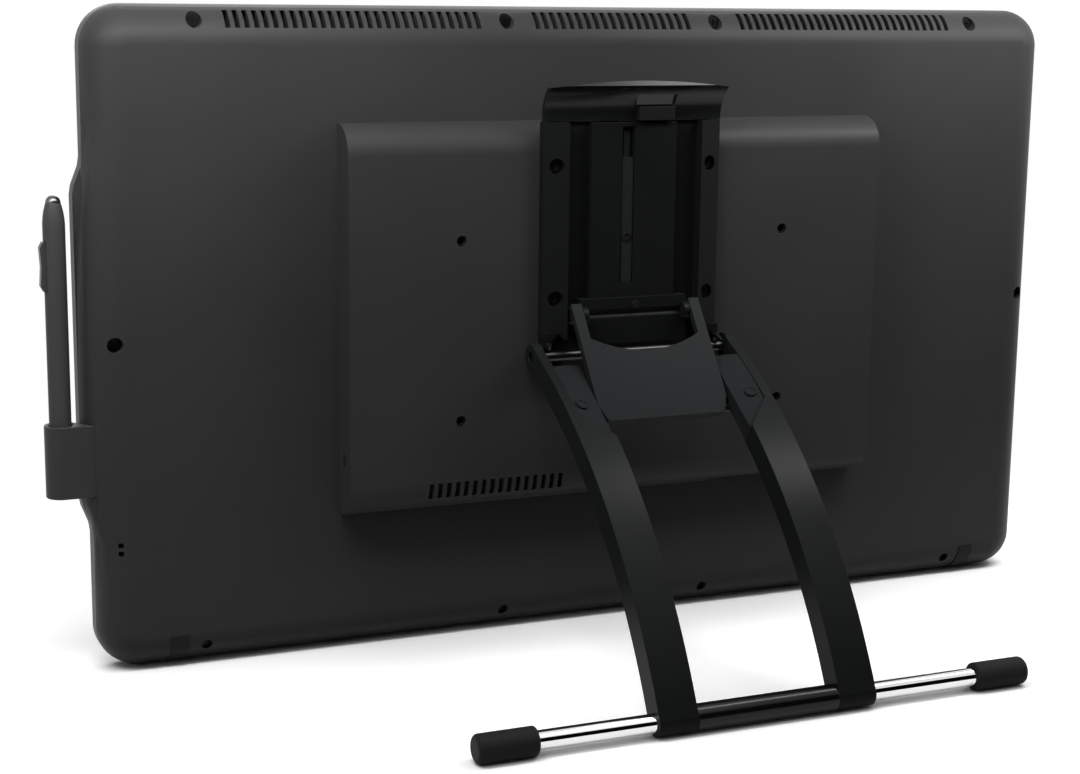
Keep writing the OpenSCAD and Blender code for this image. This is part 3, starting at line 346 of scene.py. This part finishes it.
bpy.ops.mesh.primitive_circle_add(vertices=96, radius=9, fill_type="NGON", location=(0, 0, -0.0002))
floor = bpy.context.object
floor.name = "studio_floor"
floor_paper = bpy.data.materials.new("white floor paper")
floor_paper.use_nodes = True
paper = floor_paper.node_tree
paper_shader = paper.nodes["Principled BSDF"]
paper_shader.inputs["Roughness"].default_value = 0.9
paper_shader.inputs["Specular IOR Level"].default_value = 0.05
paper_tone = paper.nodes.new("ShaderNodeMix")
paper_tone.data_type = "RGBA"
paper_tone.inputs["A"].default_value = (0.12, 0.12, 0.12, 1)
paper_tone.inputs["B"].default_value = (0.95, 0.95, 0.95, 1)
paper.links.new(seen_ray(paper), paper_tone.inputs["Factor"])
paper_lift = paper.nodes.new("ShaderNodeMath")
paper_lift.operation = "MULTIPLY"
paper.links.new(seen_ray(paper), paper_lift.inputs[0])
# Painted shadow: ambient occlusion dims the floor's own glow under and beside the object.
painted_contact_shadow = paper.nodes.new("ShaderNodeAmbientOcclusion")
painted_contact_shadow.inputs["Distance"].default_value = 0.11
glow_level = paper.nodes.new("ShaderNodeMapRange")
glow_level.inputs["From Min"].default_value = 0.25
glow_level.inputs["To Max"].default_value = 0.5
paper.links.new(painted_contact_shadow.outputs["AO"], glow_level.inputs["Value"])
paper.links.new(glow_level.outputs["Result"], paper_lift.inputs[1])
paper.links.new(paper_lift.outputs["Value"], paper_shader.inputs["Emission Strength"])
paper_shader.inputs["Emission Color"].default_value = (1, 1, 1, 1)
paper.links.new(paper_tone.outputs["Result"], paper_shader.inputs["Base Color"])
place = paper.nodes.new("ShaderNodeTexCoord")
reach = paper.nodes.new("ShaderNodeVectorMath")
reach.operation = "LENGTH"
far = paper.nodes.new("ShaderNodeMapRange")
far.interpolation_type = "SMOOTHSTEP"
far.inputs["From Min"].default_value = 0.3
far.inputs["From Max"].default_value = 0.72
far_seen = paper.nodes.new("ShaderNodeMath")
far_seen.operation = "MULTIPLY"
glow = paper.nodes.new("ShaderNodeEmission")
blend = paper.nodes.new("ShaderNodeMixShader")
paper.links.new(place.outputs["Object"], reach.inputs[0])
paper.links.new(reach.outputs["Value"], far.inputs["Value"])
paper.links.new(far.outputs["Result"], far_seen.inputs[0])
paper.links.new(seen_ray(paper), far_seen.inputs[1])
paper.links.new(far_seen.outputs["Value"], blend.inputs["Fac"])
paper.links.new(paper_shader.outputs["BSDF"], blend.inputs[1])
paper.links.new(glow.outputs["Emission"], blend.inputs[2])
paper.links.new(blend.outputs["Shader"], paper.nodes["Material Output"].inputs["Surface"])
floor.data.materials.append(floor_paper)

# Lamps: a soft box overhead, two strips close over the back for the fall of light from top to bottom,
# a strip on either side, and a fill for the screen.
for name, place, turn, size, power in (
        ("overhead softbox", (0.1, 0.6, 1.5), (-20, 0, 0), (1.8, 1.0), 5.5),
        ("pen side strip over the back", (0.36, 0.10, 0.50), (-52, 0, 0), (0.5, 0.10), 2.1),
        ("far side strip over the back", (-0.38, 0.10, 0.50), (-52, 0, 0), (0.5, 0.10), 2.2),
        ("pen side strip", (1.5, 0.5, 0.75), (0, 68, 12), (0.4, 1.4), 2),
        ("far side strip", (-1.5, 0.5, 0.75), (0, -68, -12), (0.4, 1.4), 2),
        ("front fill", (-0.4, -1.5, 1.1), (54, 0, -14), (1.6, 1.0), 12)):
    bpy.ops.object.light_add(type="AREA", location=place, rotation=[radians(a) for a in turn])
    lamp = bpy.context.object
    lamp.name = name
    lamp.data.shape = "RECTANGLE"
    lamp.data.size, lamp.data.size_y = size
    lamp.data.energy = power

# Flags: a standing black cloth and one on the floor, where the camera's mirrored rays go. Only such
# rays meet them, so that chrome and dark coats keep their contrast in the white room.
flag_cloth = bpy.data.materials.new("black flag cloth")
flag_cloth.use_nodes = True
cloth_shader = flag_cloth.node_tree.nodes["Principled BSDF"]
cloth_shader.inputs["Base Color"].default_value = (0.015, 0.015, 0.015, 1)
cloth_shader.inputs["Roughness"].default_value = 1
cloth_shader.inputs["Specular IOR Level"].default_value = 0
for name, place, turn, size in (("standing_flag", (-1.15, 2.6, 1.05), (90, 0, 24), (4.2, 2.1)),
                                ("floor_flag", (-0.58, 1.33, 0.001), (0, 0, 24), (3.6, 2.3))):
    bpy.ops.mesh.primitive_plane_add(size=1, location=place, rotation=[radians(a) for a in turn])
    flag = bpy.context.object
    flag.name = name
    flag.scale = (*size, 1)
    bpy.ops.object.transform_apply(location=True, rotation=True, scale=True)
    flag.data.materials.append(flag_cloth)
    flag.visible_camera = flag.visible_diffuse = flag.visible_transmission = flag.visible_shadow = False

# Air and camera: a dim even light on the object, white where the camera or a mirrored ray looks, and
# the camera at the photograph's angle.
world = bpy.data.worlds.new("white studio")
bpy.context.scene.world = world
world.use_nodes = True
air = world.node_tree
level = air.nodes.new("ShaderNodeMapRange")
level.inputs["To Min"].default_value = 0.045
level.inputs["To Max"].default_value = 1.0
air.links.new(seen_ray(air), level.inputs["Value"])
air.links.new(level.outputs["Result"], air.nodes["Background"].inputs["Strength"])
air.nodes["Background"].inputs["Color"].default_value = (1, 1, 1, 1)

bpy.ops.object.camera_add(location=(0.49043, 0.96134, 0.36429),
                          rotation=(radians(78.984), radians(-0.667), radians(156.443)))
camera = bpy.context.object
camera.data.lens = 67.823
camera.data.sensor_width = 36
bpy.context.scene.camera = camera
bpy.context.scene.view_settings.view_transform = "Standard"
